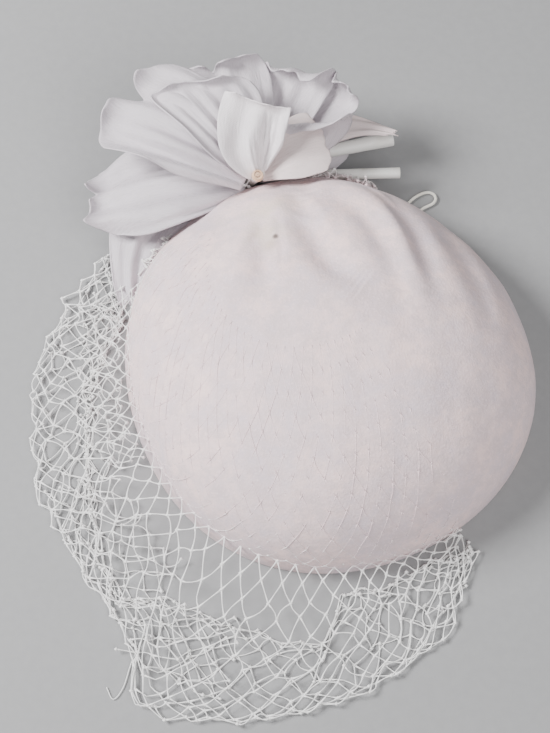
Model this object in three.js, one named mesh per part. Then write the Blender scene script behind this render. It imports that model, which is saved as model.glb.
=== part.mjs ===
// Fascinator: a velvet-covered dome cap with a silk flower, a fishnet veil and an elastic loop.
// Millimetres, +Z up. The cap rests on its rim, the veil spreads towards -Y and -X,
// and the flower lies behind the cap, towards +Y.
import * as THREE from 'three';

const { clamp, lerp, degToRad } = THREE.MathUtils;

// ---- Driving dimensions ----

const CROWN = {
  radius: 90, // mean half width of the rim
  stretch: 4.5, // the plan is longer along one diagonal and shorter across it, by this much
  diagonal: 137, // direction of the long diagonal, degrees from +X
  height: 62,
  fullness: 2.2, // side profile: 2 is a half ellipse, more is boxier
  wall: 2.6,
  turnedEdge: 1.2, // radius of the velvet turned under at the rim
  around: 72,
  rings: 18,
  liningRings: 6,
};

// Folds drawn into the velvet where it is gathered below the flower. Each runs from, past
// and to a plan point; depth is how far it sinks (negative) or stands up, width its half width.
const FOLDS = [
  { name: 'deep valley', from: [-13, 72], past: [-12, 34], to: [14, 18], width: 7.5, depth: -4.6 },
  { name: 'stitched dimple', from: [-30, 56], past: [-29, 36], to: [-29, 14], width: 5, depth: -2.4 },
  { name: 'left ridge', from: [-35, 48], past: [-40, 26], to: [-46, 4], width: 7, depth: 1.8 },
  { name: 'rolled pleat', from: [-2, 76], past: [32, 62], to: [35, 12], width: 7, depth: 3.6 },
  { name: 'pleat inner side', from: [4, 66], past: [27, 52], to: [28, 14], width: 6.5, depth: -3.2 },
  { name: 'sharp crease', from: [26, 66], past: [38, 46], to: [43, 20], width: 5.5, depth: -3.6 },
  { name: 'edge fold', from: [44, 64], past: [64, 40], to: [66, 8], width: 7, depth: -2.4 },
  { name: 'upper left dent', from: [-62, 62], past: [-44, 54], to: [-26, 52], width: 10, depth: -2 },
  { name: 'left side fold', from: [-64, 46], past: [-70, 28], to: [-75, 8], width: 6, depth: -1.3 },
];

const VEIL = {
  columns: 16, // diamonds along the rim; half as many over the crown
  thread: 1.7, // width of a strand
  thickness: 0.9,
  clearance: 1.4, // above the velvet
  gather: [-24, 56], // plan point on the crown where the net is stitched down
  start: 149, // azimuth of its left end and of its right end, degrees
  end: 307,
  crownSteps: [0.1, 0.4, 0.7, 1], // rows from the gather to where it leaves the crown
  openSteps: 4, // rows from there to the outer fold
  turnedSteps: 2, // rows of the layer turned back below
  foldHeight: 2.4,
  floorGap: 0.2,
};

// The open part of the veil round the cap: at each azimuth how far it reaches past the rim,
// how high it leaves the crown, and how far its edge is turned back underneath.
const SKIRT = [
  { azimuth: 149, reach: 20, lift: 11, turned: 8 },
  { azimuth: 166, reach: 31, lift: 21, turned: 22 },
  { azimuth: 190, reach: 45, lift: 27, turned: 38 },
  { azimuth: 215, reach: 61, lift: 24, turned: 44 },
  { azimuth: 241, reach: 80, lift: 20, turned: 50 },
  { azimuth: 256, reach: 71, lift: 17, turned: 38 },
  { azimuth: 272, reach: 58, lift: 14, turned: 20 },
  { azimuth: 290, reach: 37, lift: 11, turned: 24 },
  { azimuth: 307, reach: 7, lift: 6, turned: 3 },
];

const CALYX = {
  foot: [-37.5, 92.6, 4],
  head: [-31.5, 79.4, 41],
  radius: 3.2,
  sides: 10,
};

const PETAL = {
  wall: 1.1,
  claw: 9, // width where a petal leaves the calyx
  clearance: 0.6, // from the calyx
  lengthSteps: 8,
  widthSteps: 6,
};

// Petals, from the lowest on the calyx to the highest. seat is the height of the petal's foot,
// bow how far its middle line swings sideways, rise the arch of that line above the straight
// way to the tip, droop how far its sides hang, curl how far the tip rolls up, ruffle the depth
// of the waves along its edge.
const PETAL_TABLE = {
  columns: ['name', 'tip', 'seat', 'width', 'bow', 'rise', 'droop', 'curl', 'ruffle', 'waves'],
  rows: [
    ['petal_under_left', [-94, 102, 2.5], 7, 50, 0, 1, 0, 2, 0.5, 2],
    ['petal_under_back', [-50, 136, 5], 9, 52, 0, 2, 0, 2, 0.5, 2],
    ['petal_under_right', [3, 125, 8.5], 11.5, 44, 0, 1, 0, 2, 0.5, 2],
    ['petal_tab', [-90, 31, 21.5], 14, 24, -26, 1, 1, 0, 0.5, 1],
    ['petal_far_right', [6, 126, 27], 19.5, 28, 4, 1, 1, 5, 1, 2],
    ['petal_far', [-16, 134, 33], 21.5, 32, 0, 2, 2, 6, 1.5, 2],
    ['petal_right', [29, 104, 30], 24, 22, 5, 5, 2, 0, 1, 1],
    ['petal_lower_left', [-106, 72, 23], 27, 40, -8, 8, 2, 3, 1, 2],
    ['petal_lip', [1, 117, 37], 28, 40, 0, 3, 2, 11, 1.5, 3],
    ['petal_crest', [-43, 130, 41], 30, 36, 0, 5, 2, 5, 1.5, 2],
    ['petal_grey', [-2, 98, 40], 32, 30, 0, 6, 2, 0, 0, 1],
    ['petal_upper', [-62, 124, 48], 34, 38, 0, 5, 2, 3, 1.5, 2],
    ['petal_big_left', [-93, 105, 46], 36, 48, 0, 14, 3, 3, 1.5, 2],
    ['petal_bright', [-29, 106, 56], 38, 25, 0, 4, 2, 0, 0, 1],
  ],
};
const PETALS = PETAL_TABLE.rows.map((row) => {
  return Object.fromEntries(PETAL_TABLE.columns.map((column, k) => [column, row[k]]));
});

const STEMS = [
  { name: 'stem_upper', from: [-30.5, 96.5, 15], to: [30, 109, 17], radius: 2.4, flare: 3.4 },
  { name: 'stem_lower', from: [-30.5, 90.6, 15], to: [33, 92.5, 15], radius: 2.3, flare: 2.5 },
];

const BINDING = { radius: 4.2, height: 3, groove: 0.7, bands: 3, clearance: 0.3 };

// The loop of round elastic lies on the same surface as the rim. Its points are plan points;
// it leaves the velvet just above the rim and goes back in beside itself.
const ELASTIC = {
  diameter: 1.4,
  height: 1,
  sides: 8,
  steps: 22,
  route: [
    [35.5, 80.5], [36.4, 82.1], [37.6, 83.8], [39.1, 85.4], [40.9, 86.9], [42.9, 88.2],
    [45.2, 89.2], [47.7, 89.4], [49.8, 88.2], [50.4, 85.9], [49.2, 83.9], [47.2, 82.7],
    [45.2, 81.7], [43.4, 80.4], [42, 78.8], [41, 76.9],
  ],
};

const COLOURS = {
  velvet: 0xebe3df,
  net: 0xf2efea,
  satin: 0xe7e3e8,
  satinShade: 0xd8d0cf,
  stem: 0xf1efe9,
  elastic: 0xefece4,
  thread: 0xd9b892,
};

// ---- Shared helpers ----

const at = (point) => new THREE.Vector3(...point);

function finish(name, points, triangles, colour, roughness, metalness = 0) {
  const volume = triangles.reduce((sum, [a, b, c]) => {
    return sum + points[a].dot(points[b].clone().cross(points[c]));
  }, 0);
  const facing = volume > 0 ? triangles : triangles.map(([a, b, c]) => [a, c, b]);
  const geometry = new THREE.BufferGeometry().setFromPoints(points);
  geometry.setIndex(facing.flat());
  geometry.computeVertexNormals();
  const material = new THREE.MeshStandardMaterial({ color: colour, roughness, metalness });
  const mesh = new THREE.Mesh(geometry, material);
  mesh.name = name;
  return mesh;
}

// A closed body from rings of equal length, with a pole point before the first and after the last.
function closedRings(firstPole, rings, lastPole) {
  const count = rings[0].length;
  const points = [firstPole, ...rings.flat(), lastPole];
  const last = points.length - 1;
  const triangles = [];
  for (let i = 0; i < count; i += 1) {
    const next = (i + 1) % count;
    triangles.push([0, 1 + next, 1 + i]);
    triangles.push([last, last - count + i, last - count + next]);
    for (let ring = 0; ring < rings.length - 1; ring += 1) {
      const low = 1 + ring * count;
      const high = low + count;
      triangles.push([low + i, low + next, high + next]);
      triangles.push([low + i, high + next, high + i]);
    }
  }
  return { points, triangles };
}

// A round bar between two points, with a radius at each of its ends.
function bar(name, from, to, radii, sides, colour, roughness) {
  const along = to.clone().sub(from).normalize();
  const across = new THREE.Vector3(0, 0, 1).cross(along).normalize();
  const up = along.clone().cross(across);
  const rings = [from, to].map((centre, end) => Array.from({ length: sides }, (_, i) => {
    const turn = (i / sides) * 2 * Math.PI;
    return centre.clone()
      .addScaledVector(across, radii[end] * Math.cos(turn))
      .addScaledVector(up, radii[end] * Math.sin(turn));
  }));
  const { points, triangles } = closedRings(from, rings, to);
  return finish(name, points, triangles, colour, roughness);
}

// ---- Crown ----

function rimRadius(azimuth) {
  return CROWN.radius + CROWN.stretch * Math.cos(2 * (azimuth - degToRad(CROWN.diagonal)));
}

function foldCurve({ from, past, to }, t) {
  const keep = 1 - t;
  return [0, 1].map((k) => keep * keep * from[k] + 2 * keep * t * past[k] + t * t * to[k]);
}

const FOLD_SAMPLES = 16;
const foldLines = FOLDS.map((fold) => ({
  ...fold,
  line: Array.from({ length: FOLD_SAMPLES + 1 }, (_, i) => foldCurve(fold, i / FOLD_SAMPLES)),
}));

// How far the velvet stands up or sinks at a plan point, all folds together.
function foldDepth(x, y) {
  return foldLines.reduce((sum, { line, width, depth }) => {
    const distances = line.map(([fx, fy]) => Math.hypot(x - fx, y - fy));
    const nearest = Math.min(...distances);
    const t = distances.indexOf(nearest) / FOLD_SAMPLES;
    const fade = Math.sin(Math.PI * clamp(0.12 + 0.8 * t, 0, 1));
    return sum + depth * fade * Math.exp(-((nearest / width) ** 2));
  }, 0);
}

// A point of the crown's surface at an azimuth and at a lift from the rim (0) to the top (1),
// moved inwards by inset. lowestFold limits how far folds sink.
function crownPoint(azimuth, lift, inset = 0, lowestFold = -Infinity) {
  const angle = (lift * Math.PI) / 2;
  const radius = rimRadius(azimuth) - inset;
  const height = CROWN.height - CROWN.turnedEdge - inset;
  const reach = Math.cos(angle) ** (2 / CROWN.fullness) * radius;
  const rise = Math.sin(angle) ** (2 / CROWN.fullness) * height;
  const point = new THREE.Vector3(reach * Math.cos(azimuth), reach * Math.sin(azimuth), rise);
  const outwards = new THREE.Vector3(
    point.x / radius ** 2,
    point.y / radius ** 2,
    point.z / height ** 2,
  ).normalize();
  point.z += CROWN.turnedEdge;
  return point.addScaledVector(outwards, Math.max(foldDepth(point.x, point.y), lowestFold));
}

function makeCrown() {
  const ring = (place) => Array.from({ length: CROWN.around }, (_, i) => {
    return place((i / CROWN.around) * 2 * Math.PI);
  });
  const flatEdge = (inset) => ring((azimuth) => {
    const radius = rimRadius(azimuth) - inset;
    return new THREE.Vector3(radius * Math.cos(azimuth), radius * Math.sin(azimuth), 0);
  });
  const inside = [];
  for (let i = CROWN.liningRings - 1; i > 0; i -= 1) {
    inside.push(ring((azimuth) => crownPoint(azimuth, i / CROWN.liningRings, CROWN.wall)));
  }
  const outside = [];
  for (let i = 0; i < CROWN.rings; i += 1) {
    outside.push(ring((azimuth) => crownPoint(azimuth, i / CROWN.rings)));
  }
  const rings = [...inside, flatEdge(CROWN.wall + CROWN.turnedEdge), flatEdge(CROWN.turnedEdge), ...outside];
  const { points, triangles } = closedRings(crownPoint(0, 1, CROWN.wall), rings, crownPoint(0, 1));
  return finish('crown', points, triangles, COLOURS.velvet, 0.95);
}

// ---- Veil ----

// The row of the SKIRT table at an azimuth in degrees, eased between its neighbours.
function skirtAt(azimuth) {
  const next = clamp(SKIRT.findIndex((row) => row.azimuth >= azimuth), 1, SKIRT.length - 1);
  const [a, b] = [SKIRT[next - 1], SKIRT[next]];
  const t = clamp((azimuth - a.azimuth) / (b.azimuth - a.azimuth), 0, 1);
  return {
    reach: lerp(a.reach, b.reach, t),
    lift: lerp(a.lift, b.lift, t),
    turned: lerp(a.turned, b.turned, t),
  };
}

// Half of a right angle times this lift gives the crown's surface at a height.
function liftAtHeight(height) {
  const share = (height - CROWN.turnedEdge) / (CROWN.height - CROWN.turnedEdge);
  return Math.asin(share ** (CROWN.fullness / 2)) / (Math.PI / 2);
}

// The crown's surface above a plan point, raised by the net's clearance. The net bridges dents.
function overCrown(x, y) {
  const azimuth = Math.atan2(y, x);
  const share = Math.min(Math.hypot(x, y) / rimRadius(azimuth), 1);
  const lift = Math.acos(share ** (CROWN.fullness / 2)) / (Math.PI / 2);
  const point = crownPoint(azimuth, lift, 0, 0);
  const outwards = new THREE.Vector3(
    point.x / CROWN.radius ** 2,
    point.y / CROWN.radius ** 2,
    point.z / CROWN.height ** 2,
  ).normalize();
  return point.addScaledVector(outwards, VEIL.clearance + VEIL.thickness);
}

const LEAVING_ROW = VEIL.crownSteps.length - 1;
const FOLD_ROW = LEAVING_ROW + VEIL.openSteps;
const LAST_ROW = FOLD_ROW + VEIL.turnedSteps;

// A point on the veil's outer face. across runs from its left end (0) to its right end (1), row
// from the gather over the crown, out to the fold at FOLD_ROW and back below to LAST_ROW.
function veilPoint(across, row) {
  const degrees = lerp(VEIL.start, VEIL.end, across);
  const azimuth = degToRad(degrees);
  const { reach, lift, turned } = skirtAt(degrees);
  const leaving = crownPoint(azimuth, liftAtHeight(lift));
  if (row <= LEAVING_ROW) {
    const step = Math.floor(Math.min(row, LEAVING_ROW - 1));
    const way = lerp(VEIL.crownSteps[step], VEIL.crownSteps[step + 1], row - step);
    const share = Math.sin((way * Math.PI) / 2);
    const x = lerp(VEIL.gather[0], leaving.x, share);
    const y = lerp(VEIL.gather[1], leaving.y, share);
    return overCrown(x, y);
  }
  const foldRadius = rimRadius(azimuth) + reach;
  if (row <= FOLD_ROW) {
    const top = overCrown(leaving.x, leaving.y);
    const topRadius = Math.hypot(top.x, top.y);
    const angle = ((row - LEAVING_ROW) / VEIL.openSteps) * (Math.PI / 2);
    const radius = lerp(topRadius, foldRadius, Math.sin(angle));
    const height = lerp(VEIL.foldHeight, top.z, Math.cos(angle));
    return new THREE.Vector3(radius * Math.cos(azimuth), radius * Math.sin(azimuth), height);
  }
  const back = (row - FOLD_ROW) / VEIL.turnedSteps;
  const radius = foldRadius - turned * back;
  const height = lerp(VEIL.foldHeight, VEIL.floorGap, Math.min(2 * back, 1));
  return new THREE.Vector3(radius * Math.cos(azimuth), radius * Math.sin(azimuth), height);
}

function veilNormal(across, row) {
  const [da, dr] = [0.01, 0.25];
  const rowSide = veilPoint(across, Math.min(row + dr, LAST_ROW))
    .sub(veilPoint(across, Math.max(row - dr, 0)));
  const acrossSide = veilPoint(Math.min(across + da, 1), row)
    .sub(veilPoint(Math.max(across - da, 0), row));
  return rowSide.cross(acrossSide).normalize();
}

// The meshes of the net as lists of knots, each knot an [across, row] pair. Round the cap there
// are VEIL.columns diamonds to a row, and over the crown half as many, twice as wide.
function netCells() {
  const n = VEIL.columns;
  const rows = VEIL.openSteps + VEIL.turnedSteps;
  const cells = [];
  const add = (open, ...places) => cells.push({
    open,
    knots: places.map(([i, row]) => [i / n, row + LEAVING_ROW]),
  });
  for (let row = 0; row <= rows - 2; row += 1) {
    const first = row % 2 === 0 ? 1 : 0.5;
    for (let i = first; i < n; i += 1) {
      add(true, [i, row], [i - 0.5, row + 1], [i, row + 2], [i + 0.5, row + 1]);
    }
  }
  for (let i = 0.5; i < n; i += 1) {
    add(true, [i, rows - 1], [i - 0.5, rows], [i + 0.5, rows]);
  }
  for (let i = 1; i < n; i += 2) {
    add(true, [i, -1], [i - 1, 0], [i - 0.5, 1], [i, 0]);
    add(true, [i, -1], [i, 0], [i + 0.5, 1], [i + 1, 0]);
    add(true, [i, -3], [i - 1, -2], [i, -1], [i + 1, -2]);
  }
  for (let i = 2; i < n; i += 2) {
    add(true, [i, -2], [i - 1, -1], [i, 0], [i + 1, -1]);
    add(false, [i, -2], [i + 1, -3], [i - 1, -3]);
  }
  return cells;
}

// Strands over the crown are cut into short straight steps, so that they follow its curve.
function strandSteps([, rowA], [, rowB]) {
  return Math.min(rowA, rowB) < LEAVING_ROW ? 3 : 1;
}

function makeVeil() {
  const points = [];
  const pairs = new Map();
  const triangles = [];
  const sheetPair = (across, row) => {
    const key = `${across.toFixed(5)} ${row.toFixed(5)}`;
    if (!pairs.has(key)) {
      const outer = veilPoint(across, row);
      const inner = outer.clone().addScaledVector(veilNormal(across, row), -VEIL.thickness);
      points.push(outer, inner);
      pairs.set(key, points.length - 2);
    }
    return pairs.get(key);
  };
  const quad = (a, b, c, d) => triangles.push([a, b, c], [a, c, d]);
  const edges = new Map();

  for (const { open, knots } of netCells()) {
    const outline = knots.flatMap((knot, i) => {
      const next = knots[(i + 1) % knots.length];
      const steps = strandSteps(knot, next);
      return Array.from({ length: steps }, (_, k) => {
        return [lerp(knot[0], next[0], k / steps), lerp(knot[1], next[1], k / steps)];
      });
    });
    const middle = [0, 1].map((k) => knots.reduce((sum, knot) => sum + knot[k], 0) / knots.length);
    const centre = veilPoint(...middle);
    const reach = Math.min(...outline.map((p, i) => {
      const q = outline[(i + 1) % outline.length];
      const segment = new THREE.Line3(veilPoint(...p), veilPoint(...q));
      return segment.closestPointToPoint(centre, true, new THREE.Vector3()).distanceTo(centre);
    }));
    const inset = Math.min(VEIL.thread / 2 / reach, 0.45);
    const outer = outline.map((p) => sheetPair(...p));
    const inner = outline.map((p) => sheetPair(lerp(p[0], middle[0], inset), lerp(p[1], middle[1], inset)));
    const hub = open ? -1 : sheetPair(...middle);
    outer.forEach((a, i) => {
      const next = (i + 1) % outer.length;
      const b = outer[next];
      edges.set(`${a} ${b}`, [a, b]);
      if (open) {
        const [c, d] = [inner[next], inner[i]];
        quad(a, b, c, d);
        quad(b + 1, a + 1, d + 1, c + 1);
        quad(d, c, c + 1, d + 1);
      } else {
        triangles.push([a, b, hub], [b + 1, a + 1, hub + 1]);
      }
    });
  }
  for (const [a, b] of edges.values()) {
    if (!edges.has(`${b} ${a}`)) {
      quad(b, a, a + 1, b + 1);
    }
  }
  return usedPoints('veil', points, triangles, COLOURS.net, 0.7);
}

// Leaves out points that no triangle names.
function usedPoints(name, points, triangles, colour, roughness) {
  const order = [...new Set(triangles.flat())];
  const place = new Map(order.map((old, index) => [old, index]));
  const renumbered = triangles.map((triangle) => triangle.map((old) => place.get(old)));
  return finish(name, order.map((old) => points[old]), renumbered, colour, roughness);
}

// ---- Flower ----

// The calyx leans back against the crown; share is 0 at its foot and 1 at its head.
function calyxAt(share) {
  return at(CALYX.foot).lerp(at(CALYX.head), share);
}

function seatOf(petal) {
  const share = (petal.seat - CALYX.foot[2]) / (CALYX.head[2] - CALYX.foot[2]);
  return calyxAt(share);
}

// The middle line of a petal in plan and height, without its rise: it leaves the calyx towards
// its bend and swings from there to the tip.
function petalMiddleLine(petal) {
  const seat = seatOf(petal);
  const tip = at(petal.tip);
  const way = tip.clone().sub(seat);
  const swing = new THREE.Vector3(-way.y, way.x, 0).setLength(2 * Math.abs(petal.bow));
  const bend = seat.clone().lerp(tip, 0.5).addScaledVector(swing, Math.sign(petal.bow));
  const outwards = new THREE.Vector3(bend.x - seat.x, bend.y - seat.y, 0);
  const root = seat.clone().add(outwards.setLength(CALYX.radius + PETAL.clearance));
  return new THREE.QuadraticBezierCurve3(root, bend, tip);
}

// Half width of a petal: a narrow claw, widest beyond the middle, a blunt tip.
function petalHalfWidth(petal, t) {
  const claw = PETAL.claw / 2;
  const opened = Math.sin((Math.PI / 2) * clamp(t / 0.66, 0, 1)) ** 1.2;
  const closing = 1 - 0.38 * clamp((t - 0.66) / 0.34, 0, 1) ** 2;
  return lerp(claw, petal.width / 2, opened) * closing;
}

function petalPoint(petal, middleLine, t, s) {
  const along = t * (1 - 0.16 * s * s * t);
  const point = middleLine.getPoint(along);
  const forwards = middleLine.getTangent(clamp(along, 0, 1));
  const sideways = new THREE.Vector3(-forwards.y, forwards.x, 0).normalize();
  point.addScaledVector(sideways, s * petalHalfWidth(petal, t));
  const tipShare = clamp((t - 0.7) / 0.3, 0, 1);
  const ripple = Math.sin(Math.PI * petal.waves * s + petal.seat) * t ** 3;
  point.z += petal.rise * 4 * along * (1 - along);
  point.z += petal.curl * tipShare ** 2 - petal.droop * s * s * Math.min(2 * t, 1);
  point.z += petal.ruffle * ripple;
  return point;
}

function makePetal(petal) {
  const line = petalMiddleLine(petal);
  const [rows, columns] = [PETAL.lengthSteps + 1, PETAL.widthSteps + 1];
  const points = [];
  for (let i = 0; i < rows; i += 1) {
    for (let j = 0; j < columns; j += 1) {
      const t = i / PETAL.lengthSteps;
      const s = (2 * j) / PETAL.widthSteps - 1;
      const step = 0.02;
      const middle = petalPoint(petal, line, t, s);
      const along = petalPoint(petal, line, t + step, s).sub(petalPoint(petal, line, t - step, s));
      const over = petalPoint(petal, line, t, s + step).sub(petalPoint(petal, line, t, s - step));
      const normal = along.cross(over).normalize().multiplyScalar(PETAL.wall / 2);
      points.push(middle.clone().add(normal), middle.clone().sub(normal));
    }
  }
  const index = (i, j) => 2 * (i * columns + j);
  const triangles = [];
  const quad = (a, b, c, d) => triangles.push([a, b, c], [a, c, d]);
  for (let i = 0; i < rows - 1; i += 1) {
    for (let j = 0; j < columns - 1; j += 1) {
      const [a, b, c, d] = [index(i, j), index(i + 1, j), index(i + 1, j + 1), index(i, j + 1)];
      quad(a, b, c, d);
      quad(d + 1, c + 1, b + 1, a + 1);
    }
  }
  const rim = (a, b) => quad(b, a, a + 1, b + 1);
  for (let i = 0; i < rows - 1; i += 1) {
    rim(index(i, 0), index(i + 1, 0));
    rim(index(i + 1, columns - 1), index(i, columns - 1));
  }
  for (let j = 0; j < columns - 1; j += 1) {
    rim(index(0, j + 1), index(0, j));
    rim(index(rows - 1, j), index(rows - 1, j + 1));
  }
  const shaded = petal.name === 'petal_grey';
  return finish(petal.name, points, triangles, shaded ? COLOURS.satinShade : COLOURS.satin, 0.45);
}

function makeCalyx() {
  const radii = [CALYX.radius, CALYX.radius];
  return bar('calyx', at(CALYX.foot), at(CALYX.head), radii, CALYX.sides, COLOURS.satinShade, 0.8);
}

// Thread wound round the head of the calyx, above the highest petal.
function makeBinding() {
  const share = 1 + BINDING.clearance / (CALYX.head[2] - CALYX.foot[2]);
  const low = calyxAt(share);
  const up = at(CALYX.head).sub(at(CALYX.foot)).normalize();
  const across = new THREE.Vector3(0, 0, 1).cross(up).normalize();
  const over = up.clone().cross(across);
  const rings = [];
  const ringCount = 2 * BINDING.bands + 1;
  for (let k = 0; k < ringCount; k += 1) {
    const radius = BINDING.radius - (k % 2 === 0 ? BINDING.groove : 0);
    const centre = low.clone().addScaledVector(up, (BINDING.height * k) / (ringCount - 1));
    rings.push(Array.from({ length: CALYX.sides }, (_, i) => {
      const turn = (i / CALYX.sides) * 2 * Math.PI;
      return centre.clone()
        .addScaledVector(across, radius * Math.cos(turn))
        .addScaledVector(over, radius * Math.sin(turn));
    }));
  }
  const high = low.clone().addScaledVector(up, BINDING.height);
  const { points, triangles } = closedRings(low, rings, high);
  return finish('binding', points, triangles, COLOURS.thread, 0.9);
}

// ---- Elastic loop ----

function makeElastic() {
  const route = ELASTIC.route.map(([x, y]) => new THREE.Vector3(x, y, ELASTIC.height));
  const section = new THREE.Shape(Array.from({ length: ELASTIC.sides }, (_, i) => {
    const turn = (i / ELASTIC.sides) * 2 * Math.PI;
    const radius = ELASTIC.diameter / 2;
    return new THREE.Vector2(radius * Math.cos(turn), radius * Math.sin(turn));
  }));
  const geometry = new THREE.ExtrudeGeometry(section, {
    steps: ELASTIC.steps,
    extrudePath: new THREE.CatmullRomCurve3(route),
    curveSegments: 1,
  });
  const material = new THREE.MeshStandardMaterial({ color: COLOURS.elastic, roughness: 0.8 });
  const mesh = new THREE.Mesh(geometry, material);
  mesh.name = 'elastic_loop';
  return mesh;
}

// ---- Assembly ----

const fascinator = new THREE.Group();
fascinator.add(makeCrown(), makeVeil(), makeCalyx(), makeBinding(), makeElastic());
fascinator.add(...PETALS.map(makePetal));
fascinator.add(...STEMS.map((stem) => bar(
  stem.name, at(stem.from), at(stem.to), [stem.radius, stem.flare], 10, COLOURS.stem, 0.6,
)));

// The origin is the middle of the whole object's box, on the surface that the rim rests on.
const box = new THREE.Box3().setFromObject(fascinator);
const middle = box.getCenter(new THREE.Vector3());
fascinator.position.set(-middle.x, -middle.y, -box.min.z);

export default fascinator;
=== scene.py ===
import math
from dataclasses import dataclass
from functools import partial
from typing import NamedTuple

import bpy
import numpy as np
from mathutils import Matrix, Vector


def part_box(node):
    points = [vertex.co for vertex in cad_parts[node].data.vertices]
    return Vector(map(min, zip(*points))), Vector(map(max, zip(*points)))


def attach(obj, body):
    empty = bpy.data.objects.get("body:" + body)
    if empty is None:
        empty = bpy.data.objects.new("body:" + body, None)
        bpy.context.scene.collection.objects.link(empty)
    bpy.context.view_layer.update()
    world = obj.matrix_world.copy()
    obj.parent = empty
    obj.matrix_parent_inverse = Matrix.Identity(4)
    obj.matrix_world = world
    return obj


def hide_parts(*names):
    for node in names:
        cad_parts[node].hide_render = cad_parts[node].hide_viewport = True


bl_info = {
    "name": "Fascinator With Silk Flower and Veil",
    "version": (1, 0, 0),
    "blender": (4, 5, 0),
    "location": "3D View > Sidebar > Fascinator",
    "description": "Dresses the fascinator's frame in velvet, net, silk petals and thread",
    "category": "Object",
}

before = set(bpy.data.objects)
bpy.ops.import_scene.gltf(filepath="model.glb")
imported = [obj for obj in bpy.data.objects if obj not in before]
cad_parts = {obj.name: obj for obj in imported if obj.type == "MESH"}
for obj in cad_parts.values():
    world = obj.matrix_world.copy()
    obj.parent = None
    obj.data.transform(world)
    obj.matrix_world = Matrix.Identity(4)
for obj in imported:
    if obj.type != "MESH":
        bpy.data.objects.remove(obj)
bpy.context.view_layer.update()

MM = 0.001
BODY = "root"

# The cap's middle, worked out from the calyx, whose own middle stands there in the cap's plan.
CALYX_FOOT = np.array([-37.5, 92.6, 4.0])
CALYX_HEAD = np.array([-31.5, 79.4, 41.0])
calyx_low, calyx_high = (np.array(corner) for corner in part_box("calyx"))
CAP_MIDDLE = (calyx_low + calyx_high) / 2 - (CALYX_FOOT + CALYX_HEAD) / 2 * MM

# ---- Sizes in millimetres, in plan from the cap's middle, with z up from what it rests on ----

# The rim is stretched along one diagonal. Its front is rounder than its back: at its foremost
# point this many times the stretch is taken off it.
RIM_RADIUS = 90.0
RIM_STRETCH = 4.5
RIM_DIAGONAL = math.radians(137)
FRONT_ROUNDING = 1.4
CAP_HEIGHT = 62.0
CAP_FULLNESS = 2.2
CAP_WALL = 2.6
VELVET_WALL = 1.1
LINING_GAP = 0.1
TURNED_EDGE = 1.2
TURNED_STEPS = 7
DEEPEST_FOLD = -9.0
DEEPEST_FOLD_UNDER_NET = -3.0
BROAD_UNEVENNESS = 0.32
FINE_UNEVENNESS = 0.2


class Fold(NamedTuple):
    """A fold of the velvet along a curve in plan, from one point past another to a third."""

    start: tuple
    past: tuple
    end: tuple
    width: float  # half of it
    rise: float  # negative where it sinks in


FOLDS = (
    Fold((-13, 72), (-12, 34), (14, 18), 7.5, -4.6),
    Fold((-30, 56), (-29, 36), (-29, 14), 5.0, -2.4),
    Fold((-35, 48), (-40, 26), (-46, 4), 7.0, 1.8),
    Fold((-2, 76), (32, 62), (35, 12), 7.0, 3.6),
    Fold((4, 66), (27, 52), (28, 14), 6.5, -3.2),
    Fold((26, 66), (38, 46), (43, 20), 5.5, -3.6),
    Fold((44, 64), (64, 40), (66, 8), 7.0, -2.4),
    Fold((-62, 62), (-44, 54), (-26, 52), 10.0, -2.0),
    Fold((-64, 46), (-70, 28), (-75, 8), 6.0, -1.3),
)
CREASES = (
    Fold((-24, 56), (-20, 40), (-22, 24), 1.6, -0.7),
    Fold((-27, 55), (-34, 44), (-38, 30), 1.8, -0.6),
    Fold((-22, 58), (-8, 56), (4, 44), 2.0, 0.6),
    Fold((-30, 58), (-44, 56), (-56, 48), 2.2, 0.5),
    Fold((-45, 9), (-36, 2), (-28, -2), 1.5, 0.35),
    Fold((14, 78), (24, 72), (30, 62), 2.4, 0.9),
    Fold((60, 52), (70, 30), (72, 6), 3.0, 0.6),
    Fold((-16, 74), (-4, 62), (0, 44), 2.6, 0.8),
)
FOLD_SAMPLES = 24

# Marks on the velvet: the soiled patch by the gather, which also carries a painted highlight that
# lightens the velvet there, a smudge, and a stitch in it.
SOIL_AND_HIGHLIGHT_PLACE = (-30, 52, 53)
SMUDGE_PLACE = (-26, 39, 55)
STITCH_PLACE = (-24, 43, 55)


class Skirt(NamedTuple):
    """The veil where it stands out round the cap, at one azimuth in degrees."""

    azimuth: float
    reach: float  # past the rim
    lift: float  # height at which it leaves the cap
    turned: float  # how far its edge is turned back below


SKIRT = (
    Skirt(149, 20, 9, 8),
    Skirt(167, 32, 17, 28),
    Skirt(180, 40, 20, 26),
    Skirt(200, 48, 20, 25),
    Skirt(213, 49, 18, 17),
    Skirt(229, 51, 15, 5),
    Skirt(235, 57, 14, 24),
    Skirt(241, 76, 13, 46),
    Skirt(256, 67, 12, 39),
    Skirt(268, 57, 10, 27),
    Skirt(272, 55, 10, 46),
    Skirt(290, 39, 8, 32),
    Skirt(307, 11, 5, 3),
)
# Share of the net's columns that lie left of an azimuth: it is gathered closer at the left.
GATHERING = ((0.0, 149), (0.43, 215), (0.79, 276), (1.0, 307))
GATHER_POINT = (-24.0, 56.0)
# Share of the way from there to where the net leaves the cap at which its first row lies.
FIRST_ROW = 0.3
NET_COLUMNS = 33
CAP_ROWS = 14
OPEN_ROWS = 10
TURNED_ROWS = 12
NET_ROWS = CAP_ROWS + OPEN_ROWS + TURNED_ROWS
FOLD_HEIGHT = 2.2
NET_GROUND = 0.35
NET_SINK = 0.04
# How the open rows spread outwards and sag. Where the net reaches less far than this, its
# meshes are drawn closer at the cap, up to a limit.
NET_SPREAD = 1.35
NET_SAG = 1.3
EVEN_REACH = 66
CLOSEST_ROWS = 1.6
# How strongly the turned edge gathers where it is folded, at an azimuth.
TURN_GATHERING = ((205, 6), (235, 3))
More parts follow.
